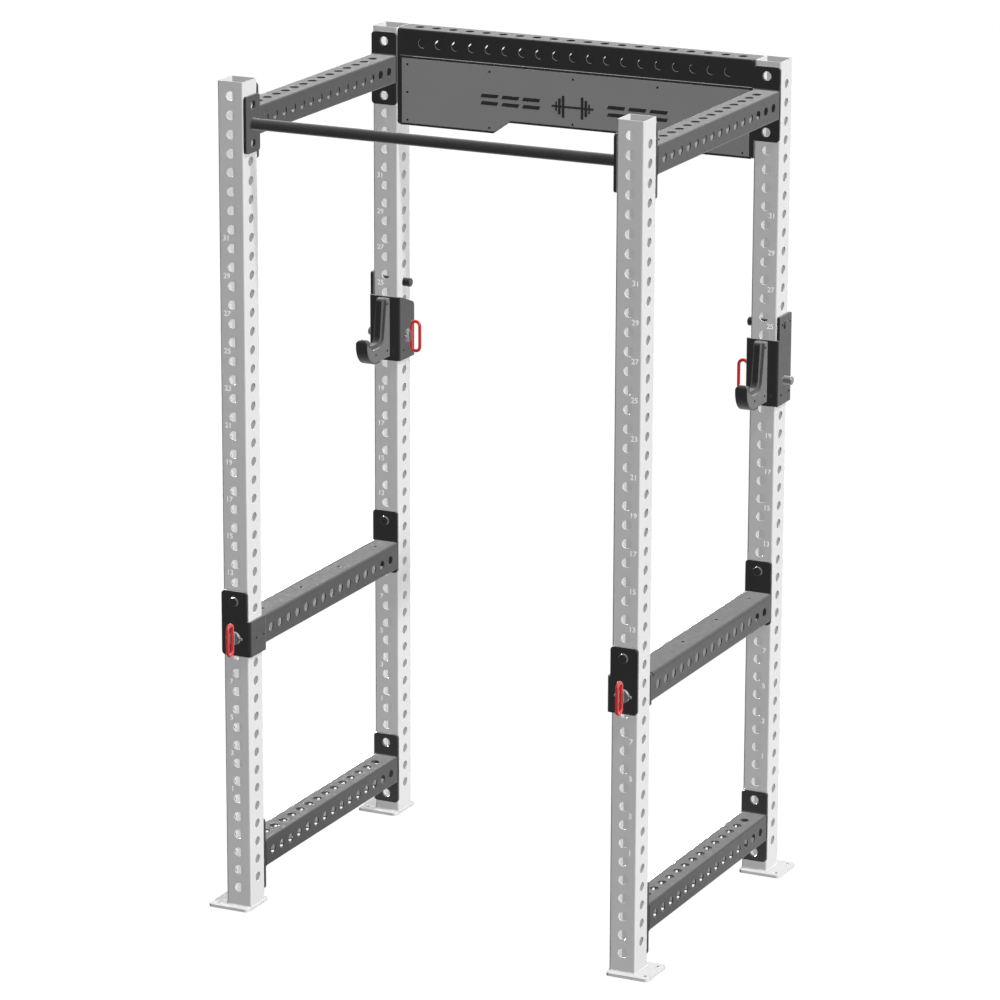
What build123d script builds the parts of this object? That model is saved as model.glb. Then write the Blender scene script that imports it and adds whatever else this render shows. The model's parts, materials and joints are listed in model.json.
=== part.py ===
from build123d import *
import os

# Four-upright power rack with pull-up bar, rear sign beam, two safeties and two bar holders.
# Millimetres.  +X is the right-hand side seen from the front, +Y is to the rear, +Z is up.
# Origin: on the floor, in the middle of the rack.

os.makedirs("parts", exist_ok=True)

# ---------------------------------------------------------------- driving dimensions
TUBE = 75.0              # outer side of every square tube
TUBE_WALL = 3.0
TUBE_CORNER = 5.0        # outer corner radius of the tubes
HOLE_R = 12.5            # every attachment hole
PITCH = 50.0             # hole pitch on every face
PLATE = 8.0              # thickness of every bolt-on and bracket plate
HEIGHT = 2248.0          # floor to the top of the uprights
SPAN_X = 1125.0          # upright centre to centre, left to right
SPAN_Y = 875.0           # upright centre to centre, front to rear
GAP = 1.0                # clearance between a removable bracket and the upright
PLATE_CORNER = 10.0      # rounded corners of plates
SAFETY_HOLE_Z = 760.0    # front-face hole that the safety pins use
CUP_HOLE_Z = 1385.0      # side-face hole that the bar-holder pins use

# ---------------------------------------------------------------- derived places
UP_X = SPAN_X / 2
UP_Y = SPAN_Y / 2
INNER_X = UP_X - TUBE / 2
OUTER_X = UP_X + TUBE / 2
INNER_Y = UP_Y - TUBE / 2
OUTER_Y = UP_Y + TUBE / 2
FRONT_HOLE_Z = 60.0      # lowest hole of the front and back faces
FRONT_HOLES = 44
SIDE_HOLE_Z = FRONT_HOLE_Z + PITCH / 2
SIDE_HOLES = 43
BEAM_HOLES = 15          # holes along each side face of a side beam

# ---------------------------------------------------------------- helpers
def rod(axis, centre, radius, low, high):
    """Round bar along an axis, from low to high; centre gives the two other coordinates in X, Y, Z order."""
    length = high - low
    middle = (low + high) / 2
    if axis == "x":
        return Pos(middle, centre[0], centre[1]) * Rot(0, 90, 0) * Cylinder(radius, length)
    if axis == "y":
        return Pos(centre[0], middle, centre[1]) * Rot(90, 0, 0) * Cylinder(radius, length)
    return Pos(centre[0], centre[1], middle) * Cylinder(radius, length)


def block(x, y, z):
    """Box from three (low, high) pairs."""
    size = (x[1] - x[0], y[1] - y[0], z[1] - z[0])
    return Pos((x[0] + x[1]) / 2, (y[0] + y[1]) / 2, (z[0] + z[1]) / 2) * Box(*size)


def outline(points, corner=0.0, sharp=()):
    """Flat face through the points, every corner rounded except the ones numbered in sharp."""
    face = Polygon(*points, align=None)
    if corner:
        keep = [Vector(*points[i], 0) for i in sharp]
        picked = [v for v in face.vertices() if all((Vector(*v) - k).length > 0.01 for k in keep)]
        face = fillet(picked, corner)
    return face


def rounded(*corners):
    """Flat face through (u, v, radius) corners, each with its own rounding; radius 0 leaves a corner sharp."""
    face = Polygon(*[(u, v) for u, v, _ in corners], align=None)
    for u, v, radius in corners:
        if radius:
            face = fillet([p for p in face.vertices() if (Vector(*p) - Vector(u, v, 0)).length < 0.01], radius)
    return face


def plate_facing_x(face, low, high):
    """Extrude a face drawn in (y, z) from x = low to x = high."""
    return Pos(low, 0, 0) * extrude(Plane.YZ * face, high - low, dir=(1, 0, 0))


def plate_facing_y(face, low, high):
    """Extrude a face drawn in (x, z) from y = low to y = high."""
    return Pos(0, low, 0) * extrude(Plane.XZ * face, high - low, dir=(0, 1, 0))


def plate_facing_z(face, low, high):
    """Extrude a face drawn in (x, y) from z = low to z = high."""
    return Pos(0, 0, low) * extrude(face, high - low, dir=(0, 0, 1))


def rect_points(a_low, a_high, b_low, b_high):
    return [(a_low, b_low), (a_high, b_low), (a_high, b_high), (a_low, b_high)]


def square_tube(axis, centre, low, high):
    """Hollow square tube along an axis, from low to high."""
    ring = RectangleRounded(TUBE, TUBE, TUBE_CORNER)
    ring -= RectangleRounded(TUBE - 2 * TUBE_WALL, TUBE - 2 * TUBE_WALL, TUBE_CORNER - TUBE_WALL)
    bar = Pos(0, 0, -(high - low) / 2) * extrude(ring, high - low)
    middle = (low + high) / 2
    if axis == "x":
        return Pos(middle, centre[0], centre[1]) * Rot(0, 90, 0) * bar
    if axis == "y":
        return Pos(centre[0], middle, centre[1]) * Rot(90, 0, 0) * bar
    return Pos(centre[0], centre[1], middle) * bar


def drilled(shape, cutters):
    return shape - cutters


def row(first, count):
    """Hole positions on the common pitch."""
    return [first + PITCH * i for i in range(count)]


def save(name, shape):
    export_step(shape, "parts/" + name + ".step")


def both_sides(right_shape):
    """A right-hand piece and its mirror image as one group."""
    return Compound(children=[right_shape, mirror(right_shape, about=Plane.YZ)])


def save_pair(name, right_shape):
    """Save a right-hand piece and its mirror image."""
    save(name + "_right", right_shape)
    save(name + "_left", mirror(right_shape, about=Plane.YZ))


# ---------------------------------------------------------------- uprights and feet
FOOT_SIDE = 120.0
FOOT_HOLE_R = 6.0
FOOT_HOLE_IN = 19.0      # hole centre to the plate's outer edge
FOOT_HOLE_SPACING = 80.0


def upright(x, y):
    tube = square_tube("z", (x, y), PLATE, HEIGHT)
    reach = TUBE / 2 + 1
    cutters = [rod("y", (x, z), HOLE_R, y - reach, y + reach) for z in row(FRONT_HOLE_Z, FRONT_HOLES)]
    cutters += [rod("x", (y, z), HOLE_R, x - reach, x + reach) for z in row(SIDE_HOLE_Z, SIDE_HOLES)]
    return drilled(tube, cutters)


def foot_plate(x, y):
    """Plate under a right-hand upright; it reaches out to +X only."""
    low_x = x - TUBE / 2
    face = Pos(low_x + FOOT_SIDE / 2, y) * RectangleRounded(FOOT_SIDE, FOOT_SIDE, PLATE_CORNER)
    hole_x = low_x + FOOT_SIDE - FOOT_HOLE_IN
    for side in (-1, 1):
        face -= Pos(hole_x, y + side * FOOT_HOLE_SPACING / 2) * Circle(FOOT_HOLE_R)
    return extrude(face, PLATE)


for end, y in (("front", -UP_Y), ("rear", UP_Y)):
    save_pair("upright_" + end, upright(UP_X, y))
    save_pair("foot_plate_" + end, foot_plate(UP_X, y))

# ---------------------------------------------------------------- side beams and their end plates
SIDE_PLATE_TALL = 200.0
SIDE_PLATE_HOLES = 150.0     # distance between the two holes of an end plate
LOWER_BEAM_Z = 135.0
UPPER_BEAM_Z = 2135.0


def side_beam(z):
    end = INNER_Y - PLATE
    tube = square_tube("y", (UP_X, z), -end, end)
    reach = TUBE / 2 + 1
    first = -PITCH * (BEAM_HOLES - 1) / 2
    cutters = [rod("x", (y, z), HOLE_R, UP_X - reach, UP_X + reach) for y in row(first, BEAM_HOLES)]
    cutters += [rod("z", (UP_X, y), HOLE_R, z - reach, z + reach) for y in row(first + PITCH / 2, BEAM_HOLES - 1)]
    return drilled(tube, cutters)


def side_beam_end_plate(z, face_y):
    """One end plate; face_y is its front surface."""
    half = SIDE_PLATE_TALL / 2
    face = Pos(UP_X, z) * RectangleRounded(TUBE, 2 * half, PLATE_CORNER)
    for side in (-1, 1):
        face -= Pos(UP_X, z + side * SIDE_PLATE_HOLES / 2) * Circle(HOLE_R)
    return plate_facing_y(face, face_y, face_y + PLATE)


for level, z in (("lower", LOWER_BEAM_Z), ("upper", UPPER_BEAM_Z)):
    save_pair(level + "_beam", side_beam(z))
    ends = [side_beam_end_plate(z, -INNER_Y), side_beam_end_plate(z, INNER_Y - PLATE)]
    save_pair(level + "_beam_end_plates", Compound(children=ends))

# ---------------------------------------------------------------- pull-up bar
PULL_BAR_R = 15.0
PULL_BAR_WALL = 3.0
PULL_BAR_Z = 2135.0
PULL_PLATE_TALL = 150.0
PULL_PLATE_HOLES = 100.0


def pull_up_bar():
    end = INNER_X - PLATE
    bar = rod("x", (-UP_Y, PULL_BAR_Z), PULL_BAR_R, -end, end)
    return bar - rod("x", (-UP_Y, PULL_BAR_Z), PULL_BAR_R - PULL_BAR_WALL, -end - 1, end + 1)


def pull_up_end_plate():
    face = Pos(-UP_Y, PULL_BAR_Z) * RectangleRounded(TUBE, PULL_PLATE_TALL, PLATE_CORNER)
    for side in (-1, 1):
        face -= Pos(-UP_Y, PULL_BAR_Z + side * PULL_PLATE_HOLES / 2) * Circle(HOLE_R)
    return plate_facing_x(face, INNER_X - PLATE, INNER_X)


save("pull_up_bar", pull_up_bar())
save("pull_up_end_plates", both_sides(pull_up_end_plate()))

# ---------------------------------------------------------------- rear beam and sign panel
REAR_BEAM_Z = HEIGHT - TUBE / 2
REAR_PLATE_LOW = 1983.0
REAR_FRONT_HOLES = 19
SIGN_BACKING = 3.0           # thickness of the backing plate
SIGN_SHEET = 2.0             # thickness of the grey cover sheet
SIGN_BORDER = 6.0            # how far the sheet is set in from the backing plate's edge
SIGN_STEP_UP = 33.0          # how much shallower the middle of the panel is
SIGN_STEP_X = 236.0          # half-width at the deep end of the slanted step
SIGN_STEP_RUN = 46.0         # width of the slanted step
SIGN_ROUND = 12.0
SIGN_SCREW_R = 3.5
SIGN_SCREW_HEAD = 2.0


def rear_beam():
    end = INNER_X - PLATE
    tube = square_tube("x", (UP_Y, REAR_BEAM_Z), -end, end)
    reach = TUBE / 2 + 1
    first = -PITCH * (REAR_FRONT_HOLES - 1) / 2
    front = row(first, REAR_FRONT_HOLES)
    top = row(first - PITCH / 2, REAR_FRONT_HOLES + 1)
    cutters = [rod("y", (x, REAR_BEAM_Z), HOLE_R, UP_Y - reach, UP_Y + reach) for x in front]
    cutters += [rod("z", (x, UP_Y), HOLE_R, REAR_BEAM_Z - reach, REAR_BEAM_Z + reach) for x in top]
    return drilled(tube, cutters)


def rear_end_plate():
    tall = HEIGHT - REAR_PLATE_LOW
    face = Pos(UP_Y, REAR_PLATE_LOW + tall / 2) * RectangleRounded(TUBE, tall, PLATE_CORNER)
    for z in (SIDE_HOLE_Z + 39 * PITCH, SIDE_HOLE_Z + 41 * PITCH):
        face -= Pos(UP_Y, z) * Circle(HOLE_R)
    return plate_facing_x(face, INNER_X - PLATE, INNER_X)


def sign_face(inset):
    """Panel outline in (x, z): straight top and ends, deep at both ends, shallower in the middle."""
    half = INNER_X - PLATE - inset
    top = HEIGHT - TUBE - inset
    low = REAR_PLATE_LOW + inset
    high = low + SIGN_STEP_UP
    deep_x = SIGN_STEP_X - inset
    flat_x = deep_x - SIGN_STEP_RUN
    points = [(-half, top), (-half, low), (-deep_x, low), (-flat_x, high),
              (flat_x, high), (deep_x, low), (half, low), (half, top)]
    return outline(points, SIGN_ROUND, sharp=(0, 1, 6, 7))


def sign_screw_places():
    """Screw centres in (x, z): the cover sheet's corners, its steps and its middle."""
    half = INNER_X - PLATE - 23
    top = HEIGHT - TUBE - 22
    low = REAR_PLATE_LOW + 15
    places = [(0, top), (0, low + SIGN_STEP_UP - 2)]
    for side in (-1, 1):
        places += [(side * half, top), (side * half, (top + low) / 2), (side * half, low)]
        places += [(side * half / 2, top), (side * half / 2, low)]
    return places


def sign_screws():
    front = INNER_Y - SIGN_SHEET
    heads = []
    for x, z in sign_screw_places():
        head = rod("y", (x, z), SIGN_SCREW_R, front - SIGN_SCREW_HEAD, front)
        heads.append(head - block((x - 2.5, x + 2.5), (front - SIGN_SCREW_HEAD - 1, front - 1), (z - 0.5, z + 0.5)))
    return Compound(children=heads)


save("rear_beam", rear_beam())
save("rear_end_plates", both_sides(rear_end_plate()))
save("sign_backing", plate_facing_y(sign_face(0.0), INNER_Y, INNER_Y + SIGN_BACKING))
save("sign_sheet", plate_facing_y(sign_face(SIGN_BORDER), INNER_Y - SIGN_SHEET, INNER_Y))
save("sign_screws", sign_screws())

# ---------------------------------------------------------------- pull-pins with wire loops
# Drawn pointing along +X: the bracket face is at x = 0, the shaft runs to +X and the loop hangs at -X.
PIN_R = 12.45                # running fit in the 12.5 holes
PIN_NOSE_R = 11.5
PIN_NOSE = 24.0              # turned-down end
PIN_TIP = 3.5                # rounding of the turned-down end
DISC_R = 17.5
DISC_EDGE = 1.0
DISC = 8.0
FACE_GAP = 0.2               # disc to bracket at rest
CROSS_R = 3.5                # grip bar through the disc
CROSS_LENGTH = 47.0
CROSS_OUT = 4.0              # grip-bar axis to the bracket face
BARREL_R = 6.5               # open barrel on the disc that the loop's inner leg is snapped into
BARREL_TALL = 28.0
BARREL_OUT = 13.0            # barrel axis to the bracket face
BARREL_WRAP = 1.5            # how far the barrel reaches past its axis
WIRE_R = 4.5
WIRE_FIT = 0.05
LOOP_TALL = 92.0
LOOP_WIDE = 35.0


def pull_pin(shaft):
    """Pin with its shaft along +X; shaft is the full-diameter length from the bracket face."""
    body = rod("x", (0, 0), PIN_R, -DISC / 2, shaft)
    body += rod("x", (0, 0), PIN_NOSE_R, shaft, shaft + PIN_NOSE)
    tip = body.edges().filter_by(GeomType.CIRCLE).sort_by(Axis.X)[-1]
    body = fillet(tip, PIN_TIP)
    disc = rod("x", (0, 0), DISC_R, -DISC, -FACE_GAP)
    rims = disc.edges().filter_by(GeomType.CIRCLE).sort_by(Axis.X)
    disc = chamfer(rims[0], DISC_EDGE)
    body += disc
    body += rod("y", (-CROSS_OUT, 0), CROSS_R, -CROSS_LENGTH / 2, CROSS_LENGTH / 2)
    barrel = rod("z", (-BARREL_OUT, 0), BARREL_R, -BARREL_TALL / 2, BARREL_TALL / 2)
    barrel -= block((-BARREL_OUT - BARREL_R - 1, -BARREL_OUT - BARREL_WRAP), (-BARREL_R - 1, BARREL_R + 1),
                    (-BARREL_TALL, BARREL_TALL))
    body += barrel
    return body - rod("z", (-BARREL_OUT, 0), WIRE_R + WIRE_FIT, -BARREL_TALL, BARREL_TALL)


def wire_loop():
    """Closed racetrack of round wire in the XZ plane; its inner leg turns in the pin's barrel."""
    bend = (LOOP_WIDE - 2 * WIRE_R) / 2
    leg = LOOP_TALL / 2 - WIRE_R - bend
    centre = -BARREL_OUT - bend
    inner = Line((centre + bend, 0, -leg), (centre + bend, 0, leg))
    top = ThreePointArc((centre + bend, 0, leg), (centre, 0, leg + bend), (centre - bend, 0, leg))
    outer = Line((centre - bend, 0, leg), (centre - bend, 0, -leg))
    foot = ThreePointArc((centre - bend, 0, -leg), (centre, 0, -leg - bend), (centre + bend, 0, -leg))
    path = Wire([inner.edge(), top.edge(), outer.edge(), foot.edge()])
    start = Plane(origin=(centre + bend, 0, -leg), z_dir=(0, 0, 1))
    return sweep(start * Circle(WIRE_R), path)


# ---------------------------------------------------------------- bar holders (J-cups) on the rear uprights
CUP_LOW = 1320.0
CUP_TOP = 1500.0
CUP_WALL_BACK = OUTER_Y + 6      # rear edge of the side walls
CUP_PEG_Z = CUP_HOLE_Z + 3 * PITCH
CUP_EAR_TOP = CUP_PEG_Z + 28
CUP_BEND = 6.0                   # outer bend radius of the bracket
CUP_SLOPE_LOW = 1471.0           # height the inner wall's sloped top comes down to
CUP_SLOPE_ROUND = 15.0
EAR_ROUND = 5.0
EDGE_ROUND = 2.0
PEG_PROUD = 4.5                  # how far a peg's domed end stands out of its plate
PEG_DOME = 4.0
PEG_CHAMFER = 2.0
PEG_R = 12.0
PEG_OUT = 22.0                   # how far a peg stands out past the upright
CUP_IN = INNER_X - GAP - PLATE   # inner face of the bracket
CUP_OUT = OUTER_X + GAP + PLATE
CUP_FACE = INNER_Y - GAP - PLATE # front face of the bracket


def cup_bracket():
    """Bent bracket round the front of a rear upright: a sloped inner wall and a taller outer one."""
    outer = [(CUP_IN, CUP_WALL_BACK), (CUP_IN, CUP_FACE), (CUP_OUT, CUP_FACE), (CUP_OUT, CUP_WALL_BACK)]
    skin = outline(outer, CUP_BEND, sharp=(0, 3))
    hollow = [(CUP_IN + PLATE, CUP_WALL_BACK + 1), (CUP_IN + PLATE, CUP_FACE + PLATE),
              (CUP_OUT - PLATE, CUP_FACE + PLATE), (CUP_OUT - PLATE, CUP_WALL_BACK + 1)]
    skin -= outline(hollow)
    channel = plate_facing_z(skin, CUP_LOW, CUP_EAR_TOP)
    front = CUP_FACE - 1
    behind_face = CUP_FACE + PLATE
    inner_wall = rounded((front, CUP_LOW, 0), (CUP_WALL_BACK, CUP_LOW, EDGE_ROUND),
                         (CUP_WALL_BACK, CUP_SLOPE_LOW, CUP_SLOPE_ROUND), (behind_face, CUP_TOP, 0), (front, CUP_TOP, 0))
    outer_wall = rounded((front, CUP_LOW, 0), (CUP_WALL_BACK, CUP_LOW, EDGE_ROUND),
                         (CUP_WALL_BACK, CUP_EAR_TOP, EAR_ROUND), (behind_face, CUP_EAR_TOP, EAR_ROUND),
                         (behind_face, CUP_TOP, 0), (front, CUP_TOP, 0))
    bracket = channel & plate_facing_x(inner_wall, CUP_IN - 1, UP_X)
    bracket += channel & plate_facing_x(outer_wall, UP_X, CUP_OUT + 1)
    cutters = [rod("x", (UP_Y, CUP_HOLE_Z), HOLE_R, CUP_IN - 1, CUP_OUT + 1)]
    cutters.append(rod("x", (UP_Y, CUP_PEG_Z), PEG_R, OUTER_X, CUP_OUT + 1))
    return drilled(bracket, cutters)


def cup_peg():
    """Fixed peg welded into the tall outer wall, through the upright's side holes; its outer end is domed."""
    peg = rod("x", (UP_Y, CUP_PEG_Z), PEG_R, INNER_X - PEG_OUT, CUP_OUT + PEG_PROUD)
    rims = peg.edges().filter_by(GeomType.CIRCLE).sort_by(Axis.X)
    peg = chamfer(rims[0], PEG_CHAMFER)
    rims = peg.edges().filter_by(GeomType.CIRCLE).sort_by(Axis.X)
    return fillet(rims[-1], PEG_DOME)


HOOK_WIDE = 32.0
CHEEK = 8.0                      # thickness of a hook's side cheek
HOOK_TOP = 1496.0
HOOK_LOW = 1332.0
FLOOR_Z = 1368.0                 # lowest point of the cheeks' upper edge
SEAT_Z = FLOOR_Z + 12            # surface the bar lies on
SPLIT_Z = SEAT_Z + 32            # where the back liner meets the seat
CHEEK_TIP = 256.0                # y of the cheeks' front point
CHEEK_TIP_Z = 1390.0
TIP_FALL = 0.56                  # slope of the cheeks' upper edge behind the point
CHEEK_ROUND = 54.0               # radius of the cheeks' lower front corner
CHEEK_TOP_Y = 373.0              # y of the arm's front edge at its top
CHEEK_FOOT_Y = 352.0             # y of the arm's front edge where it would meet the floor
LINER_PROUD = 15.0               # how far the back liner stands in front of the arm at the top
LINER_LEAN = 0.11                # forward lean of the liner's face, per unit of height
NOSE_SKIN = 4.0
NOSE_BACK = 272.0                # y of the nose cap's inner face
NOSE_END = 331.0                 # y where the nose cap's underside stops
NOSE_TOP = 1404.0
NOSE_EDGE = 7.0
NOSE_PROUD = 1.0                 # how far the nose cap stands out past the cheeks on each side
NOSE_SHOULDER = 12.0             # rounding of the cap's upper side edges
SEAT_INSET = 6.0                 # the seat's underside lies this far inside the cheeks' outline
SEAT_RISE = 24.0                 # run of the seat's slope up to the nose
SEAT_LIP = 9.0                   # top of that slope, below the top of the nose


def tip_z(y):
    """Height of the cheeks' sloped upper edge behind their point."""
    return CHEEK_TIP_Z - TIP_FALL * (y - CHEEK_TIP)


def hook_cheek(x_low):
    """J-shaped side cheek, drawn in (y, z)."""
    floor_start = CHEEK_TIP + (CHEEK_TIP_Z - FLOOR_Z) / TIP_FALL
    face = rounded((CHEEK_TIP, HOOK_LOW, CHEEK_ROUND), (CUP_FACE, HOOK_LOW, 0), (CUP_FACE, HOOK_TOP, 0),
                   (CHEEK_TOP_Y, HOOK_TOP, 6), (CHEEK_FOOT_Y, FLOOR_Z, 30), (floor_start, FLOOR_Z, 40),
                   (CHEEK_TIP, CHEEK_TIP_Z, 0))
    return plate_facing_x(face, x_low, x_low + CHEEK)


def hook_cheeks():
    low = UP_X - HOOK_WIDE / 2
    return Compound(children=[hook_cheek(low), hook_cheek(low + HOOK_WIDE - CHEEK)])


def liner_y(z):
    """y of the liner's front face at height z."""
    return CHEEK_TOP_Y - LINER_PROUD - LINER_LEAN * (HOOK_TOP - z)


def between_cheeks(face):
    return plate_facing_x(face, UP_X - HOOK_WIDE / 2 + CHEEK, UP_X + HOOK_WIDE / 2 - CHEEK)


def hook_back_liner():
    """Plastic block between the cheeks, standing proud of the arm, with a rounded top."""
    top = HOOK_TOP + 1
    return between_cheeks(rounded((liner_y(SPLIT_Z), SPLIT_Z, 0), (CUP_FACE, SPLIT_Z, 0), (CUP_FACE, top, 0),
                                  (liner_y(top), top, 10)))


def hook_seat():
    """Plastic seat between the cheeks that the bar rests on, curving up into the back liner and the nose."""
    low = HOOK_LOW + SEAT_INSET
    return between_cheeks(rounded((CHEEK_TIP, low, CHEEK_ROUND - SEAT_INSET), (CUP_FACE, low, 0),
                                  (CUP_FACE, SPLIT_Z, 0), (liner_y(SPLIT_Z), SPLIT_Z, 0), (liner_y(SEAT_Z), SEAT_Z, 20),
                                  (NOSE_BACK + SEAT_RISE, SEAT_Z, 12), (NOSE_BACK, NOSE_TOP - SEAT_LIP, 0),
                                  (NOSE_BACK, tip_z(NOSE_BACK), 0), (CHEEK_TIP, CHEEK_TIP_Z, 0)))


def hook_nose():
    """Dark cap over the point of the hook, its skin running down round the front."""
    front = CHEEK_TIP - NOSE_SKIN
    low = HOOK_LOW - NOSE_SKIN
    face = rounded((front, low, CHEEK_ROUND + NOSE_SKIN), (NOSE_END, low, 0), (NOSE_END, HOOK_LOW, 0),
                   (CHEEK_TIP, HOOK_LOW, CHEEK_ROUND), (CHEEK_TIP, CHEEK_TIP_Z, 0), (NOSE_BACK, tip_z(NOSE_BACK), 0),
                   (NOSE_BACK, NOSE_TOP, NOSE_EDGE), (front, NOSE_TOP, NOSE_EDGE + 3))
    left = UP_X - HOOK_WIDE / 2 - NOSE_PROUD
    right = UP_X + HOOK_WIDE / 2 + NOSE_PROUD
    across = rounded((left, low - 1, 0), (right, low - 1, 0), (right, NOSE_TOP, NOSE_SHOULDER),
                     (left, NOSE_TOP, NOSE_SHOULDER))
    return plate_facing_x(face, left, right) & plate_facing_y(across, front - 1, NOSE_END + 1)


SCREW_R = 3.5
SCREW_HEAD = 2.0
CUP_SCREW_Z = 1348.0
EAR_SCREW_Z = CUP_PEG_Z + 5
HOOK_SCREWS = ((308, 1353), (376, 1351), (376, 1483))
CUP_SCREW_SIDE = 28.5            # front screws, each side of the upright's middle
CUP_SCREW_FRONT = 15.5           # side screws, behind the upright's front face
CUP_SCREW_REAR = 5.5             # side screws, in front of the upright's rear face


def cup_screws():
    """Heads on the bracket's front and side walls, on the tall ear, and on both cheeks of the hook."""
    heads = []
    for place in HOOK_SCREWS:
        heads.append(rod("x", place, SCREW_R, UP_X - HOOK_WIDE / 2 - SCREW_HEAD, UP_X - HOOK_WIDE / 2))
        heads.append(rod("x", place, SCREW_R, UP_X + HOOK_WIDE / 2, UP_X + HOOK_WIDE / 2 + SCREW_HEAD))
    for side in (-1, 1):
        heads.append(rod("y", (UP_X + side * CUP_SCREW_SIDE, CUP_SCREW_Z), SCREW_R, CUP_FACE - SCREW_HEAD, CUP_FACE))
    for y in (INNER_Y + CUP_SCREW_FRONT, OUTER_Y - CUP_SCREW_REAR):
        heads.append(rod("x", (y, CUP_SCREW_Z), SCREW_R, CUP_IN - SCREW_HEAD, CUP_IN))
        heads.append(rod("x", (y, CUP_SCREW_Z), SCREW_R, CUP_OUT, CUP_OUT + SCREW_HEAD))
        heads.append(rod("x", (y, EAR_SCREW_Z), SCREW_R, CUP_OUT, CUP_OUT + SCREW_HEAD))
    return Compound(children=heads)


def cup_place(shape):
    """Put a pin or loop drawn along +X onto the inner wall of the right-hand bar holder."""
    return Pos(CUP_IN, UP_Y, CUP_HOLE_Z) * shape


save_pair("cup_bracket", cup_bracket())
save_pair("cup_peg", cup_peg())
save_pair("cup_cheeks", hook_cheeks())
save_pair("cup_back_liner", hook_back_liner())
save_pair("cup_seat", hook_seat())
save_pair("cup_nose", hook_nose())
save_pair("cup_screws", cup_screws())
save_pair("cup_pin", cup_place(pull_pin(CUP_OUT - CUP_IN)))
save_pair("cup_loop", cup_place(wire_loop()))

# ---------------------------------------------------------------- safeties
SAFETY_PEG_Z = SAFETY_HOLE_Z + 2 * PITCH
SAFETY_PEG_PROUD = 8.5
SAFETY_PEG_ROUND = 1.5
SAFETY_PLATE_TOP = SAFETY_PEG_Z + 28
SAFETY_PLATE_LOW = SAFETY_HOLE_Z - 49
ARM_TOP = SAFETY_HOLE_Z + 47
SAFETY_EDGE_IN = INNER_X             # inner edge of the front plate above the arm
SAFETY_FRONT = -OUTER_Y - GAP - PLATE
SAFETY_LEG = -INNER_Y + GAP          # front face of the rear leg
BOX_FRONT = SAFETY_LEG + PLATE
BOX_REAR = INNER_Y - GAP - PLATE
STRIP = 3.0                          # thickness of the wear strip
STRIP_SIDE = 7.0                     # how far it laps down the sides
SAFETY_BEND = 8.0
STRIP_SCREWS = (-330, -110, 110, 330)
ARM_SCREWS = (-449, -410)


def safety_bracket():
    """Bent bracket: front plate, arm past the inner side of the upright, short leg behind it."""
    out = OUTER_X + GAP
    skin = outline([(out, SAFETY_FRONT), (CUP_IN, SAFETY_FRONT), (CUP_IN, BOX_FRONT), (OUTER_X, BOX_FRONT),
                    (OUTER_X, SAFETY_LEG), (CUP_IN + PLATE, SAFETY_LEG), (CUP_IN + PLATE, SAFETY_FRONT + PLATE),
                    (out, SAFETY_FRONT + PLATE)])
    corners = [v for v in skin.vertices() if abs(v.X - CUP_IN) < 0.01]
    skin = fillet(corners, SAFETY_BEND)
    bent = plate_facing_z(skin, SAFETY_PLATE_LOW, SAFETY_PLATE_TOP)
    step = -OUTER_Y - GAP
    side = rounded((SAFETY_FRONT, SAFETY_PLATE_LOW, 0), (BOX_FRONT, SAFETY_PLATE_LOW, EDGE_ROUND),
                   (BOX_FRONT, ARM_TOP, 0), (step, ARM_TOP, 0), (step, SAFETY_PLATE_TOP, 0),
                   (SAFETY_FRONT, SAFETY_PLATE_TOP, 0))
    bent &= plate_facing_x(side, CUP_IN - 1, out + 1)
    front = outline([(CUP_IN, SAFETY_PLATE_LOW), (out, SAFETY_PLATE_LOW), (out, SAFETY_PLATE_TOP),
                     (SAFETY_EDGE_IN, SAFETY_PLATE_TOP), (SAFETY_EDGE_IN, ARM_TOP), (CUP_IN, ARM_TOP)],
                    PLATE_CORNER, sharp=(0, 4, 5))
    bent &= plate_facing_y(front, SAFETY_FRONT - 1, BOX_FRONT + 1)
    bent -= block((CUP_IN + PLATE, out + 1), (step + 1, BOX_FRONT + 1), (SAFETY_HOLE_Z + TUBE / 2, ARM_TOP + 1))
    cutters = [rod("y", (UP_X, SAFETY_HOLE_Z), HOLE_R, SAFETY_FRONT - 1, BOX_FRONT + 1)]
    cutters.append(rod("y", (UP_X, SAFETY_PEG_Z), PEG_R, SAFETY_FRONT - 1, step + 1))
    return drilled(bent, cutters)


def safety_peg(plate_front, end):
    """Peg welded in a plate, its head standing out in front and its shaft reaching back to y = end."""
    peg = rod("y", (UP_X, SAFETY_PEG_Z), PEG_R, plate_front - SAFETY_PEG_PROUD, end)
    rims = peg.edges().filter_by(GeomType.CIRCLE).sort_by(Axis.Y)
    peg = chamfer(rims[-1], PEG_CHAMFER / 2)
    rims = peg.edges().filter_by(GeomType.CIRCLE).sort_by(Axis.Y)
    return fillet(rims[0], SAFETY_PEG_ROUND)


def safety_pegs():
    """The front peg, in the bracket, and the rear peg, in the rear plate."""
    reach = 4 * PLATE
    return Compound(children=[safety_peg(SAFETY_FRONT, -OUTER_Y + reach), safety_peg(BOX_REAR, INNER_Y + reach)])


def safety_rear_plate():
    tall = SAFETY_PLATE_TOP - SAFETY_PLATE_LOW
    face = Pos(UP_X, SAFETY_PLATE_LOW + tall / 2) * RectangleRounded(TUBE, tall, PLATE_CORNER)
    face -= Pos(UP_X, SAFETY_PEG_Z) * Circle(PEG_R)
    return plate_facing_y(face, BOX_REAR, BOX_REAR + PLATE)


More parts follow.
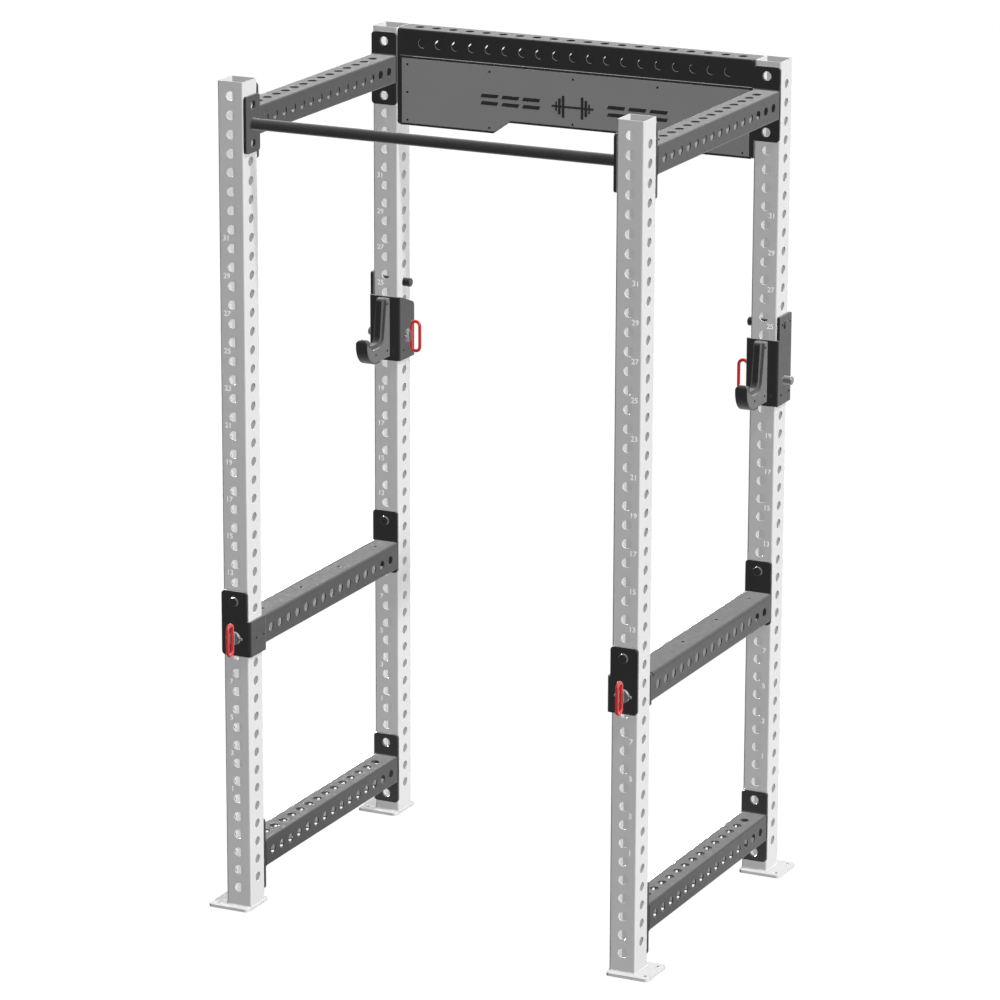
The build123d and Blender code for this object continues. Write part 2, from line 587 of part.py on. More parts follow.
def safety_box():
    tube = square_tube("y", (UP_X, SAFETY_HOLE_Z), BOX_FRONT, BOX_REAR)
    reach = TUBE / 2 + 1
    first = -PITCH * (BEAM_HOLES - 1) / 2
    cutters = [rod("x", (y, SAFETY_HOLE_Z), HOLE_R, UP_X - reach, UP_X + reach) for y in row(first, BEAM_HOLES)]
    return drilled(tube, cutters)


def safety_strip():
    """Plastic wear strip lapped over the top of the box beam."""
    half = TUBE / 2 + STRIP
    top = SAFETY_HOLE_Z + TUBE / 2 + STRIP
    cap = Pos(UP_X, top - TUBE / 2) * RectangleRounded(2 * half, TUBE, TUBE_CORNER + STRIP)
    cap -= Pos(UP_X, SAFETY_HOLE_Z) * RectangleRounded(TUBE, TUBE, TUBE_CORNER)
    low = SAFETY_HOLE_Z + TUBE / 2 - STRIP_SIDE
    strip = plate_facing_y(cap, BOX_FRONT + 4, BOX_REAR - 1)
    strip &= block((UP_X - half, UP_X + half), (BOX_FRONT, BOX_REAR), (low, top))
    return drilled(strip, [rod("z", (UP_X, y), SCREW_R + 1, top - 2 * STRIP, top + 1) for y in STRIP_SCREWS])


def safety_screws():
    """Heads sunk in the wear strip's holes and two on the bracket's arm."""
    top = SAFETY_HOLE_Z + TUBE / 2
    heads = [rod("z", (UP_X, y), SCREW_R, top, top + SCREW_HEAD) for y in STRIP_SCREWS]
    heads += [rod("x", (y, SAFETY_HOLE_Z - 2), SCREW_R, CUP_IN - SCREW_HEAD, CUP_IN) for y in ARM_SCREWS]
    return Compound(children=heads)


def safety_place(shape):
    """Turn a pin or loop drawn along +X to point to +Y and put it on the front plate."""
    return Pos(UP_X, SAFETY_FRONT, SAFETY_HOLE_Z) * Rot(0, 0, 90) * shape


save_pair("safety_box", safety_box())
save_pair("safety_strip", safety_strip())
save_pair("safety_screws", safety_screws())
save_pair("safety_rear_plate", safety_rear_plate())
save_pair("safety_bracket", safety_bracket())
save_pair("safety_pegs", safety_pegs())
save_pair("safety_pin", safety_place(pull_pin(BOX_FRONT - SAFETY_FRONT)))
save_pair("safety_loop", safety_place(wire_loop()))
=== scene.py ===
import json
import math
import random

import bmesh
import bpy
from mathutils import Matrix, Vector

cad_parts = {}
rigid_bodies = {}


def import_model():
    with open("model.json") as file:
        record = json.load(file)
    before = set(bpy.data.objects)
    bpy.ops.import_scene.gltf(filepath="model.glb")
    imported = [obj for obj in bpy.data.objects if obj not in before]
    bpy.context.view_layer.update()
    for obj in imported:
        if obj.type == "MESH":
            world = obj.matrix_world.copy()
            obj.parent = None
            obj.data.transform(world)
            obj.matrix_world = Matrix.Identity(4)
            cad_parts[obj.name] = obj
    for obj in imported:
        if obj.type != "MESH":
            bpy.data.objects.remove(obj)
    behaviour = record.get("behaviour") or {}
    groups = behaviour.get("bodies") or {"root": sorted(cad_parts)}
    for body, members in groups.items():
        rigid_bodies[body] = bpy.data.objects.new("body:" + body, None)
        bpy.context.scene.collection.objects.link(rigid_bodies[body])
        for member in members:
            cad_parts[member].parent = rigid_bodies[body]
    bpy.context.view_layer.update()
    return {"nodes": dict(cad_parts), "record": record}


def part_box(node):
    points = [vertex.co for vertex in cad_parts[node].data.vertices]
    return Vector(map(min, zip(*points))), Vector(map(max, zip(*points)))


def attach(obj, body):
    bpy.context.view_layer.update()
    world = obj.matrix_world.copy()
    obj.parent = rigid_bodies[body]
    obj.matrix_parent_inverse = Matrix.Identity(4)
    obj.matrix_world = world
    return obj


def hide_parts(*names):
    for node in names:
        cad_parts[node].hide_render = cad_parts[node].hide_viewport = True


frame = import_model()
NODES = frame["nodes"]
NODE_BOX = {name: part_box(name) for name in NODES}   # lowest and highest corner of each CAD node
SIDES = ("left", "right")
ENDS = ("front", "rear")
MM = 0.001

# ---------------------------------------------------------------- node-material helpers
MIX_SOCKETS = {"RGBA": (6, 7, 2), "FLOAT": (2, 3, 0)}   # the two inputs and the output of a mix node


class Graph:
    """Adds and links nodes of one node tree; a value is either a number or another node's output."""

    def __init__(self, tree):
        self.tree = tree
        tree.nodes.clear()

    def add(self, kind, **inputs):
        node = self.tree.nodes.new(kind)
        for name, value in inputs.items():
            self.put(node, name.replace("_", " "), value)
        return node

    def put(self, node, name, value):
        socket = node.inputs[name]
        if isinstance(value, bpy.types.NodeSocket):
            self.tree.links.new(value, socket)
        else:
            socket.default_value = value

    def noise(self, where, scale, detail=2.0, rough=0.5):
        node = self.add("ShaderNodeTexNoise", Vector=where, Scale=scale, Detail=detail, Roughness=rough)
        return node.outputs["Fac"]

    def remap(self, value, low, high, to_low, to_high):
        node = self.add("ShaderNodeMapRange", Value=value, From_Min=low, From_Max=high, To_Min=to_low,
                        To_Max=to_high)
        return node.outputs["Result"]

    def math(self, how, first, second):
        node = self.add("ShaderNodeMath")
        node.operation = how
        self.put(node, 0, first)
        self.put(node, 1, second)
        return node.outputs[0]

    def mix(self, factor, first, second, kind="RGBA"):
        node = self.add("ShaderNodeMix")
        node.data_type = kind
        first_place, second_place, result = MIX_SOCKETS[kind]
        self.put(node, 0, factor)
        self.put(node, first_place, first)
        self.put(node, second_place, second)
        return node.outputs[result]

    def mix_shaders(self, factor, first, second):
        node = self.add("ShaderNodeMixShader")
        for place, item in enumerate((factor, first, second)):
            self.put(node, place, item)
        return node.outputs[0]


def rgba(colour):
    return (*colour, 1.0)


def scaled(colour, factor):
    return tuple(min(1.0, c * factor) for c in colour)


SLOW_SCALE = 7.0              # noise scales, per metre
MARKS_SCALE = 60.0
SLOW_RANGE = (0.35, 0.65)     # parts of a noise's 0 to 1 over which a surface changes
SPECK_RANGE = (0.35, 0.70)
WEAR_OR_SHADE_RANGE = (0.42, 0.62)
FINISH_RANGE = (0.30, 0.70)
SPECK_SHARE = 0.35
WEAR_OR_SHADE_SHARES = (0.25, 1.6)     # least and most edge wear or painted edge shade, as shares of a material's amount of it
WORN_LIGHTER = 1.6
FINISH_SPREAD = (-0.05, 0.07)
EDGE_REACH = 1.2 * MM         # how far from an edge the surface is worn or given painted shade, and rounded
EDGE_COSINES = (0.98, 0.80)   # between the rounded and the flat normal, from a flat to an edge
EDGE_SAMPLES = 4
SKIN_DEPTH = 0.4 * MM
COAT_ROUGH = 0.12


def edge_mask(graph):
    """1 on sharp edges and 0 on flats, and the normal that rounds those edges."""
    bevel = graph.add("ShaderNodeBevel", Radius=EDGE_REACH)
    bevel.samples = EDGE_SAMPLES
    geometry = graph.add("ShaderNodeNewGeometry")
    dot = graph.add("ShaderNodeVectorMath")
    dot.operation = "DOT_PRODUCT"
    graph.put(dot, 0, bevel.outputs[0])
    graph.put(dot, 1, geometry.outputs["Normal"])
    return graph.remap(dot.outputs["Value"], *EDGE_COSINES, 0.0, 1.0), bevel.outputs[0]


def coated(name, colour, rough, peel=0.03, grain=1400.0, vary=0.06, wear_or_shade=0.12, ior=1.45, metallic=0.0,
           wear_or_shade_colour=None, brushed=None, coat=0.0, glow=0.0):
    """Coated or moulded surface: fine skin, slow colour change, handling marks, and worn edges or painted
    edge shade; glow adds painted light as a faint self-glow.
    """
    material = bpy.data.materials.new(name)
    material.use_nodes = True
    graph = Graph(material.node_tree)
    where = graph.add("ShaderNodeTexCoord").outputs["Object"]
    skin_where = where
    if brushed:
        skin_where = graph.add("ShaderNodeMapping", Vector=where, Scale=brushed).outputs[0]
    slow = graph.noise(where, SLOW_SCALE, detail=3.0)
    marks = graph.noise(where, MARKS_SCALE, detail=6.0, rough=0.65)
    skin = graph.noise(skin_where, grain)
    low = rgba(scaled(colour, 1.0 - vary))
    high = rgba(scaled(colour, 1.0 + vary))
    base = graph.mix(graph.remap(slow, *SLOW_RANGE, 0.0, 1.0), low, high)
    speck = graph.remap(skin, *SPECK_RANGE, 0.0, SPECK_SHARE)
    base = graph.mix(speck, base, rgba(scaled(colour, 1.0 + 2 * vary)))
    edges, soft_normal = edge_mask(graph)
    least, most = (share * wear_or_shade for share in WEAR_OR_SHADE_SHARES)
    # Edge mask: tints edges with the edge colour; on the sign sheet this is painted shade, near-black
    # edges standing in for the shade under the rear beam
    worn_or_shaded = graph.math("MULTIPLY", edges, graph.remap(marks, *WEAR_OR_SHADE_RANGE, least, most))
    base = graph.mix(worn_or_shaded, base, rgba(wear_or_shade_colour or scaled(colour, WORN_LIGHTER)))
    smoother, rougher = (rough + change for change in FINISH_SPREAD)
    finish = graph.remap(marks, *FINISH_RANGE, smoother, rougher)
    bump = graph.add("ShaderNodeBump", Strength=peel, Distance=SKIN_DEPTH, Height=skin, Normal=soft_normal)
    shader = graph.add("ShaderNodeBsdfPrincipled", Base_Color=base, Metallic=metallic, Roughness=finish,
                       IOR=ior, Normal=bump.outputs[0], Coat_Weight=coat, Coat_Roughness=COAT_ROUGH,
                       Emission_Color=rgba((1.0, 1.0, 1.0)), Emission_Strength=glow)
    graph.add("ShaderNodeOutputMaterial", Surface=shader.outputs[0])
    return material


MATERIALS = {
    "white_coat": coated("white_coat", (0.80, 0.80, 0.80), 0.42, vary=0.012, wear_or_shade=0.05,
                         wear_or_shade_colour=(0.72, 0.72, 0.72)),
    "dark_coat": coated("dark_coat", (0.014, 0.014, 0.015), 0.34, peel=0.05, vary=0.10, wear_or_shade=0.25,
                        wear_or_shade_colour=(0.10, 0.10, 0.11)),
    "bar_coat": coated("bar_coat", (0.036, 0.036, 0.037), 0.30, peel=0.08, grain=2200.0, vary=0.12,
                       wear_or_shade=0.2),
    "sign_backing": coated("sign_backing", (0.048, 0.048, 0.049), 0.60, vary=0.08, ior=1.05, wear_or_shade=0.0),
    # The sheet's edges are painted near-black: painted shade along all its edges, chiefly the top edge
    # under the rear beam, not wear
    "sign_sheet": coated("sign_sheet", (0.325, 0.325, 0.326), 0.48, vary=0.02, grain=1800.0, wear_or_shade=3.0,
                         wear_or_shade_colour=(0.02, 0.02, 0.02)),
    "pin_steel": coated("pin_steel", (0.20, 0.20, 0.205), 0.36, vary=0.10, metallic=0.85, grain=900.0,
                        brushed=(1.0, 1.0, 0.15), wear_or_shade=0.3),
    "red_wire": coated("red_wire", (0.72, 0.018, 0.016), 0.34, peel=0.02, vary=0.05, wear_or_shade=0.2,
                       wear_or_shade_colour=(0.9, 0.25, 0.22), coat=0.15),
    "hook_steel": coated("hook_steel", (0.062, 0.062, 0.063), 0.40, peel=0.08, vary=0.08, ior=1.68,
                         wear_or_shade=0.2, wear_or_shade_colour=(0.2, 0.2, 0.2)),
    "dark_plastic": coated("dark_plastic", (0.015, 0.015, 0.016), 0.40, peel=0.12, grain=1100.0, vary=0.10,
                           wear_or_shade=0.15),
    "grey_plastic": coated("grey_plastic", (0.017, 0.017, 0.018), 0.38, peel=0.14, grain=900.0, vary=0.08,
                           wear_or_shade=0.15),
    "screw_steel": coated("screw_steel", (0.004, 0.004, 0.004), 0.30, wear_or_shade=0.1, vary=0.05, ior=1.28),
    # The numbers glow faintly: painted light that keeps them brighter than the white coat around them
    "number_paint": coated("number_paint", (0.94, 0.94, 0.94), 0.5, vary=0.01, wear_or_shade=0.02, glow=0.30),
    "sign_paint": coated("sign_paint", (0.016, 0.016, 0.016), 0.5, vary=0.08, wear_or_shade=0.05),
}


def dress_frame():
    """Every CAD node takes the material of its record slot."""
    for part in frame["record"]["subparts"]:
        mesh = NODES[part["node"]].data
        mesh.materials.clear()
        mesh.materials.append(MATERIALS[part["material_slot"]])


# ---------------------------------------------------------------- mesh helpers
SHARP_ANGLE = math.radians(35)
TURNED_SIDES = 24


def mesh_piece(name, build, material, smooth=True):
    """Make one object from a bmesh-filling function, and put it on the rack."""
    mesh = bpy.data.meshes.new(name)
    shape = bmesh.new()
    build(shape)
    bmesh.ops.recalc_face_normals(shape, faces=shape.faces)
    shape.to_mesh(mesh)
    shape.free()
    mesh.materials.append(MATERIALS[material])
    piece = bpy.data.objects.new(name, mesh)
    bpy.context.scene.collection.objects.link(piece)
    if smooth:
        mesh.shade_smooth()
        mesh.set_sharp_from_angle(angle=SHARP_ANGLE)
    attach(piece, "rack")
    return piece


def skin_rings(shape, rings):
    """Join rings of points into a skin, and cap its two ends."""
    loops = [[shape.verts.new(p) for p in ring] for ring in rings]
    for first, second in zip(loops, loops[1:]):
        count = len(first)
        for i in range(count):
            j = (i + 1) % count
            shape.faces.new((first[i], first[j], second[j], second[i]))
    shape.faces.new(loops[0])
    shape.faces.new(loops[-1])


def turned(place, profile):
    """Rings of a turned shape: profile holds (radius, height, hexagonal), place sets it in the scene."""
    rings = []
    for radius, height, hexagonal in profile:
        ring = []
        for i in range(TURNED_SIDES):
            angle = 2 * math.pi * i / TURNED_SIDES
            reach = radius
            if hexagonal:
                reach = radius / math.cos((angle % (math.pi / 3)) - math.pi / 6)
            ring.append(place @ Vector((reach * math.cos(angle), reach * math.sin(angle), height)))
        rings.append(ring)
    return rings


def facing(point, normal):
    """Matrix that stands a shape drawn along +Z on a point, along a normal."""
    return Matrix.Translation(point) @ Vector(normal).to_track_quat("Z", "Y").to_matrix().to_4x4()


def prism(shape, place, outline, depth):
    """Flat closed prism from a 2-D outline."""
    skin_rings(shape, [[place @ Vector((x, y, z)) for x, y in outline] for z in (0.0, depth)])


# ---------------------------------------------------------------- screws
MERGE_GAP = 0.01 * MM
UPRIGHT_X = sum(corner.x for corner in NODE_BOX["upright_rear_right"]) / 2
# Button head as (share of radius, share of height, hexagonal), from the rim to the floor of the socket
SCREW_PROFILE = ((1.0, 0.0, False), (1.0, 0.25, False), (0.90, 0.62, False), (0.72, 0.90, False),
                 (0.58, 1.0, False), (0.42, 1.0, True), (0.40, 0.4, True))


def islands(node):
    """Lowest and highest corners of each separate solid of a node."""
    mesh = NODES[node].data
    shape = bmesh.new()
    shape.from_mesh(mesh)
    bmesh.ops.remove_doubles(shape, verts=shape.verts, dist=MERGE_GAP)
    left = set(shape.verts)
    found = []
    while left:
        stack = [left.pop()]
        points = []
        while stack:
            vertex = stack.pop()
            points.append(vertex.co.copy())
            for edge in vertex.link_edges:
                other = edge.other_vert(vertex)
                if other in left:
                    left.remove(other)
                    stack.append(other)
        low = Vector([min(p[i] for p in points) for i in range(3)])
        high = Vector([max(p[i] for p in points) for i in range(3)])
        found.append((low, high))
    shape.free()
    return sorted(found, key=lambda pair: tuple(round(v, 5) for v in pair[0]))


def head_direction(low, high):
    """Way a flat head faces: along its thinnest side, to the front, upward, or away from the upright."""
    size = high - low
    axis = min(range(3), key=lambda i: size[i])
    if axis == 1:
        return Vector((0, -1, 0))
    if axis == 2:
        return Vector((0, 0, 1))
    middle = (low.x + high.x) / 2
    return Vector((math.copysign(1, middle - math.copysign(UPRIGHT_X, middle)), 0, 0))


def button_screws(node):
    """Button-head screws with a hexagon socket in place of a node's plain heads."""
    def build(shape):
        for low, high in islands(node):
            normal = head_direction(low, high)
            axis = max(range(3), key=lambda i: abs(normal[i]))
            seat = (low + high) / 2
            seat[axis] = low[axis] if normal[axis] > 0 else high[axis]
            radius = max((high - low)[i] for i in range(3) if i != axis) / 2
            height = high[axis] - low[axis]
            head = [(wide * radius, tall * height, hexagonal) for wide, tall, hexagonal in SCREW_PROFILE]
            skin_rings(shape, turned(facing(seat, normal), head))
    piece = mesh_piece(node + "_heads", build, "screw_steel")
    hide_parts(node)


# ---------------------------------------------------------------- height numbers on the uprights
NUMBER_TALL = 14 * MM
CAPITAL_SHARE = 0.7            # height of a digit per unit of text size
NUMBER_SHIFT = {"left": -16.5 * MM, "right": 18 * MM}   # from the upright's middle
NUMBER_BASE_Z = 285 * MM       # where number 0 would be
NUMBER_STEP = 50 * MM
NUMBER_THICK = 0.25 * MM
NUMBER_BOLD = 0.35 * MM
NUMBER_MERGE = 0.001 * MM
LAST_NUMBER = 31


def number_label(number, place):
    """Text object of one number, upright and facing the front."""
    text = bpy.data.curves.new("number", "FONT")
    text.body = str(number)
    text.size = NUMBER_TALL / CAPITAL_SHARE
    text.align_x = "CENTER"
    text.align_y = "CENTER"
    text.extrude = NUMBER_THICK
    text.offset = NUMBER_BOLD
    text.resolution_u = 3
    label = bpy.data.objects.new("number", text)
    bpy.context.scene.collection.objects.link(label)
    label.location = place
    label.rotation_euler = (math.pi / 2, 0, 0)
    return label


def height_numbers(end, side):
    """Raised painted odd numbers beside the front holes of one upright, as one piece."""
    low, high = NODE_BOX[f"upright_{end}_{side}"]
    centre_x = (low.x + high.x) / 2 + NUMBER_SHIFT[side]
    labels = []
    for number in range(1, LAST_NUMBER + 1, 2):
        labels.append(number_label(number, (centre_x, low.y, NUMBER_BASE_Z + NUMBER_STEP * number)))
    bpy.context.view_layer.update()
    graph = bpy.context.evaluated_depsgraph_get()

    def build(shape):
        for label in labels:
            source = label.evaluated_get(graph).to_mesh()
            source.transform(label.matrix_world)
            shape.from_mesh(source)
            label.evaluated_get(graph).to_mesh_clear()
            bpy.data.objects.remove(label)
        bmesh.ops.remove_doubles(shape, verts=shape.verts, dist=NUMBER_MERGE)
    mesh_piece(f"height_numbers_{end}_{side}", build, "number_paint", smooth=False)


# ---------------------------------------------------------------- weld beads
TUBE_HALF = 37.5 * MM
TUBE_CORNER = 5 * MM
CORNER_STEPS = 4
BEAD = 2.2 * MM
BEAD_STEP = 3 * MM         # along the path
BEAD_SIDES = 8
BEAD_ANGLES = [2 * math.pi * k / BEAD_SIDES for k in range(BEAD_SIDES)]
RIPPLE = 0.12              # swell of the bead, as a share of its radius
RIPPLE_TURN = 2.1          # radians per point of the path
UNEVEN = 0.06
BAR_PATH_POINTS = 36


def bead_loop(shape, path, seed):
    """Closed rippled bead along a closed path of points."""
    noise = random.Random(seed)
    count = len(path)
    rings = []
    for i, point in enumerate(path):
        ahead = (path[(i + 1) % count] - path[i - 1]).normalized()
        if rings:
            across = (across - ahead * across.dot(ahead)).normalized()
        else:
            across = ahead.orthogonal().normalized()
        other = ahead.cross(across)
        swell = BEAD * (1.0 + RIPPLE * math.sin(i * RIPPLE_TURN) + UNEVEN * (noise.random() - 0.5))
        rings.append([point + swell * (math.cos(a) * across + math.sin(a) * other) for a in BEAD_ANGLES])

    def gap(turn):
        """How far the last ring, turned by some of its points, is from the first."""
        return sum((rings[0][k] - rings[-1][(k + turn) % BEAD_SIDES]).length for k in range(BEAD_SIDES))
    closing_turn = min(range(BEAD_SIDES), key=gap)
    loops = [[shape.verts.new(p) for p in ring] for ring in rings]
    for i, here in enumerate(loops):
        there = loops[(i + 1) % count]
        turn = closing_turn if i == count - 1 else 0
        for k in range(BEAD_SIDES):
            a = (k + turn) % BEAD_SIDES
            b = (a + 1) % BEAD_SIDES
            shape.faces.new((here[a], here[b], there[(k + 1) % BEAD_SIDES], there[k]))


def square_path(centre, axis):
    """Points round a tube's rounded square section, which lies across an axis."""
    side = TUBE_HALF - TUBE_CORNER
    corners = []
    for quarter, (way_u, way_v) in enumerate(((1, 1), (-1, 1), (-1, -1), (1, -1))):
        for k in range(CORNER_STEPS + 1):
            angle = (quarter + k / CORNER_STEPS) * math.pi / 2
            u = way_u * side + TUBE_CORNER * math.cos(angle)
            v = way_v * side + TUBE_CORNER * math.sin(angle)
            corners.append((u, v))
    across = [i for i in range(3) if i != axis]
    path = []
    for i, here in enumerate(corners):
        there = corners[(i + 1) % len(corners)]
        parts = max(1, round(math.dist(here, there) / BEAD_STEP))
        for k in range(parts):
            point = Vector(centre)
            for place, start, stop in zip(across, here, there):
                point[place] += start + (stop - start) * k / parts
            path.append(point)
    return path


def weld_bead(name, path, seed, material):
    """One bead as a piece; the seed sets its unevenness."""
    mesh_piece(name, lambda shape: bead_loop(shape, path, seed), material)


def foot_welds(side):
    """Beads where the uprights of one side stand on their feet."""
    for end in ENDS:
        low, high = NODE_BOX[f"upright_{end}_{side}"]
        centre = ((low.x + high.x) / 2, (low.y + high.y) / 2, low.z)
        weld_bead(f"foot_weld_{end}_{side}", square_path(centre, axis=2), 3, "white_coat")


def beam_welds(side):
    """Beads where the beams of one side meet their end plates."""
    for beam in ("lower_beam", "upper_beam"):
        low, high = NODE_BOX[f"{beam}_{side}"]
        for end, y in zip(ENDS, (low.y, high.y)):
            centre = ((low.x + high.x) / 2, y, (low.z + high.z) / 2)
            weld_bead(f"{beam}_weld_{end}_{side}", square_path(centre, axis=1), 5, "dark_coat")


def bar_welds():
    """Beads where the pull-up bar meets its end plates."""
    low, high = NODE_BOX["pull_up_bar"]
    radius = (high.z - low.z) / 2
    for side, x in zip(SIDES, (low.x, high.x)):
        centre = Vector((x, (low.y + high.y) / 2, (low.z + high.z) / 2))
        path = []
        for k in range(BAR_PATH_POINTS):
            angle = 2 * math.pi * k / BAR_PATH_POINTS
            path.append(centre + radius * Vector((0, math.cos(angle), math.sin(angle))))
        weld_bead(f"pull_up_weld_{side}", path, 7, "bar_coat")


# ---------------------------------------------------------------- sign: a barbell and two rows of stripes
SIGN_INK = 0.4 * MM
FIGURE_DROP = 92 * MM      # from the sign's top edge to the middle of the figure
ROD_REACH = 62             # the figure's sizes are in mm, from its middle
ROD_HALF = 3
DISCS = ((24, 32, 30), (35, 43, 22), (46, 51, 13))     # near side, far side and half height
STRIPES_START = 100
STRIPES_PITCH = 62
STRIPES_PER_SIDE = 3
STRIPE_LONG = 50
STRIPE_LOW = 5
STRIPE_HIGH = 15
STRIPE_LEAN = 0.5


def sign_decoration():
    """Painted figure on the front of the sign."""
    low, high = NODE_BOX["sign_sheet"]
    centre = Vector(((low.x + high.x) / 2, low.y, high.z - FIGURE_DROP))
    place = Matrix.Translation(centre) @ Matrix.Rotation(math.pi / 2, 4, "X")

    def bar(shape, x0, x1, z0, z1, lean=0.0):
        tilt = lean * (z1 - z0)
        outline = [(x0, z0), (x1, z0), (x1 + tilt, z1), (x0 + tilt, z1)]
        prism(shape, place, [(x * MM, z * MM) for x, z in outline], SIGN_INK)

    def build(shape):
        bar(shape, -ROD_REACH, ROD_REACH, -ROD_HALF, ROD_HALF)
        for sign in (-1, 1):
            for near, far, tall in DISCS:
                x0, x1 = sorted((sign * near, sign * far))
                bar(shape, x0, x1, -tall, -ROD_HALF)
                bar(shape, x0, x1, ROD_HALF, tall)
            for stripe in range(STRIPES_PER_SIDE):
                near = STRIPES_START + STRIPES_PITCH * stripe
                x0, x1 = sorted((sign * near, sign * (near + STRIPE_LONG)))
                bar(shape, x0, x1, -STRIPE_HIGH, -STRIPE_LOW, STRIPE_LEAN)
                bar(shape, x0, x1, STRIPE_LOW, STRIPE_HIGH, STRIPE_LEAN)
    mesh_piece("sign_decoration", build, "sign_paint", smooth=False)


# ---------------------------------------------------------------- floor, light and camera
KEY_DIRECTION = (0.60, -0.08, 0.796)
KEY_STRENGTH = 1.315
FILL_DIRECTION = (0.742, -0.421, 0.521)
FILL_STRENGTH = 2.90
BACK_DIRECTION = (-0.55, 0.83, 0.0)
BACK_STRENGTH = 2.8
SUN_SOFTNESS = math.radians(3)
CAMERA_PLACE = (5.6187, -11.7341, 4.7237)
CAMERA_YAW = math.radians(25.667)
CAMERA_DOWN = math.radians(15.62)
CAMERA_ROLL = math.radians(0.185)
CAMERA_LENS = 183.1
CAMERA_REACH = 200.0
SENSOR = 36.0
FLOOR_HALF = 40.0
FLOOR_SCALE = 0.8
FLOOR_TONE_RANGE = (0.3, 0.7)
FLOOR_SHADES = (0.865, 0.88)
FLOOR_PALE = 1.03             # what the camera sees of the floor is mostly this
FLOOR_PALE_SHARE = 0.97
FLOOR_GLOSS = (0.45, 1.25)    # what reflections see of the floor, in front of the rack and behind it
FLOOR_GLOSS_Y = (-0.8, 0.6)
SKY_GLOSS = (0.45, 2.6)       # what reflections see of the sky, to the front and to the rear
SKY_GLOSS_Y = (-0.8, 0.8)
SKY_DIFFUSE = 0.03
HAZE_HEIGHT = (0.18, 0.32)    # the sky is dimmer in reflections near the horizon
HAZE_DIM = 0.66


def floor():
    """Large pale floor; glossy reflections see it dimmer in front of the rack than behind it."""
    mesh = bpy.data.meshes.new("floor")
    shape = bmesh.new()
    corners = [(-1, -1), (1, -1), (1, 1), (-1, 1)]
    shape.faces.new([shape.verts.new((x * FLOOR_HALF, y * FLOOR_HALF, 0)) for x, y in corners])
    shape.to_mesh(mesh)
    shape.free()
    mesh.materials.append(floor_material())
    plane = bpy.data.objects.new("floor", mesh)
    bpy.context.scene.collection.objects.link(plane)
    plane.visible_diffuse = False


def floor_material():
    """Near-white diffuse floor that shows its own shades to the camera and to reflections."""
    material = bpy.data.materials.new("floor")
    material.use_nodes = True
    graph = Graph(material.node_tree)
    where = graph.add("ShaderNodeTexCoord").outputs["Object"]
    tone = graph.remap(graph.noise(where, FLOOR_SCALE, detail=3.0), *FLOOR_TONE_RANGE, 0.0, 1.0)
    dark, light = (rgba((shade, shade, shade)) for shade in FLOOR_SHADES)
    diffuse = graph.add("ShaderNodeBsdfDiffuse", Color=graph.mix(tone, dark, light))
    pale = graph.add("ShaderNodeEmission", Strength=FLOOR_PALE)
    y = graph.add("ShaderNodeSeparateXYZ", Vector=where).outputs["Y"]
    gloss = graph.add("ShaderNodeEmission", Strength=graph.remap(y, *FLOOR_GLOSS_Y, *FLOOR_GLOSS))
    path = graph.add("ShaderNodeLightPath")
    pale_share = graph.math("MULTIPLY", path.outputs["Is Camera Ray"], FLOOR_PALE_SHARE)
    seen = graph.mix_shaders(pale_share, diffuse.outputs[0], pale.outputs[0])
    surface = graph.mix_shaders(path.outputs["Is Glossy Ray"], seen, gloss.outputs[0])
    graph.add("ShaderNodeOutputMaterial", Surface=surface)
    return material


def sky():
    """Studio surround: dim for diffuse light, bright behind the rack for reflections."""
    world = bpy.data.worlds.new("studio")
    bpy.context.scene.world = world
    world.use_nodes = True
    graph = Graph(world.node_tree)
    direction = graph.add("ShaderNodeTexCoord").outputs["Generated"]
    split = graph.add("ShaderNodeSeparateXYZ", Vector=direction)
    bright = graph.remap(split.outputs["Y"], *SKY_GLOSS_Y, *SKY_GLOSS)
    haze = graph.remap(split.outputs["Z"], *HAZE_HEIGHT, HAZE_DIM, 1.0)
    glossy = graph.math("MULTIPLY", bright, haze)
    diffuse_ray = graph.add("ShaderNodeLightPath").outputs["Is Diffuse Ray"]
    level = graph.mix(diffuse_ray, glossy, SKY_DIFFUSE, "FLOAT")
    back = graph.add("ShaderNodeBackground", Strength=level)
    graph.add("ShaderNodeOutputWorld", Surface=back.outputs[0])


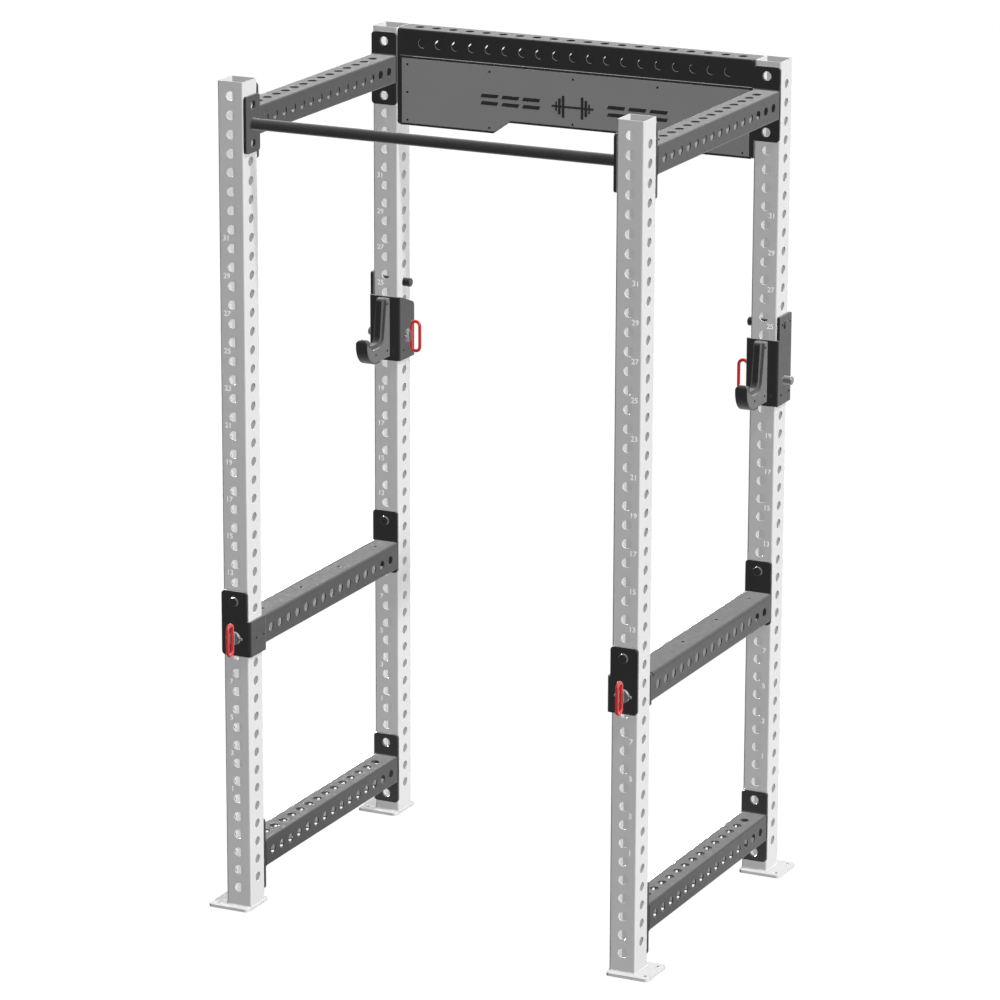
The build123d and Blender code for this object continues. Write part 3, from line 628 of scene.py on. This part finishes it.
def even_light():
    """No surface of the rack darkens another's sheen or passes light on, as inside a large light tent."""
    for item in bpy.context.scene.objects:
        if item.type == "MESH" and item.name != "floor":
            item.visible_glossy = False
            item.visible_diffuse = False


def sun(name, direction, strength, shadow):
    """Distant light that shines from a direction."""
    light = bpy.data.lights.new(name, "SUN")
    light.energy = strength
    light.angle = SUN_SOFTNESS
    light.use_shadow = shadow
    lamp = bpy.data.objects.new(name, light)
    lamp.rotation_euler = Vector(direction).to_track_quat("Z", "Y").to_euler()
    bpy.context.scene.collection.objects.link(lamp)


def camera():
    """Pinhole camera at the reference viewing angle."""
    level = math.cos(CAMERA_DOWN)
    back = Vector((math.sin(CAMERA_YAW) * level, -math.cos(CAMERA_YAW) * level, math.sin(CAMERA_DOWN)))
    right = Vector((math.cos(CAMERA_YAW), math.sin(CAMERA_YAW), 0))
    up = back.cross(right)
    roll_cos, roll_sin = math.cos(CAMERA_ROLL), math.sin(CAMERA_ROLL)
    axes = (roll_cos * right + roll_sin * up, roll_cos * up - roll_sin * right, back)
    data = bpy.data.cameras.new("camera")
    data.sensor_width = SENSOR
    data.lens = CAMERA_LENS
    data.clip_end = CAMERA_REACH
    eye = bpy.data.objects.new("camera", data)
    eye.matrix_world = Matrix.Translation(CAMERA_PLACE) @ Matrix(axes).transposed().to_4x4()
    bpy.context.scene.collection.objects.link(eye)
    bpy.context.scene.camera = eye


# ---------------------------------------------------------------- build the scene
dress_frame()
for screws in ("cup_screws_left", "cup_screws_right", "safety_screws_left", "safety_screws_right",
               "sign_screws"):
    button_screws(screws)
for upright_end in ENDS:
    for upright_side in SIDES:
        height_numbers(upright_end, upright_side)
for weld_side in SIDES:
    foot_welds(weld_side)
    beam_welds(weld_side)
bar_welds()
sign_decoration()
floor()
sky()
sun("key", KEY_DIRECTION, KEY_STRENGTH, True)
sun("fill", FILL_DIRECTION, FILL_STRENGTH, False)
sun("back", BACK_DIRECTION, BACK_STRENGTH, False)
even_light()
camera()
bpy.context.scene.view_settings.view_transform = "Standard"
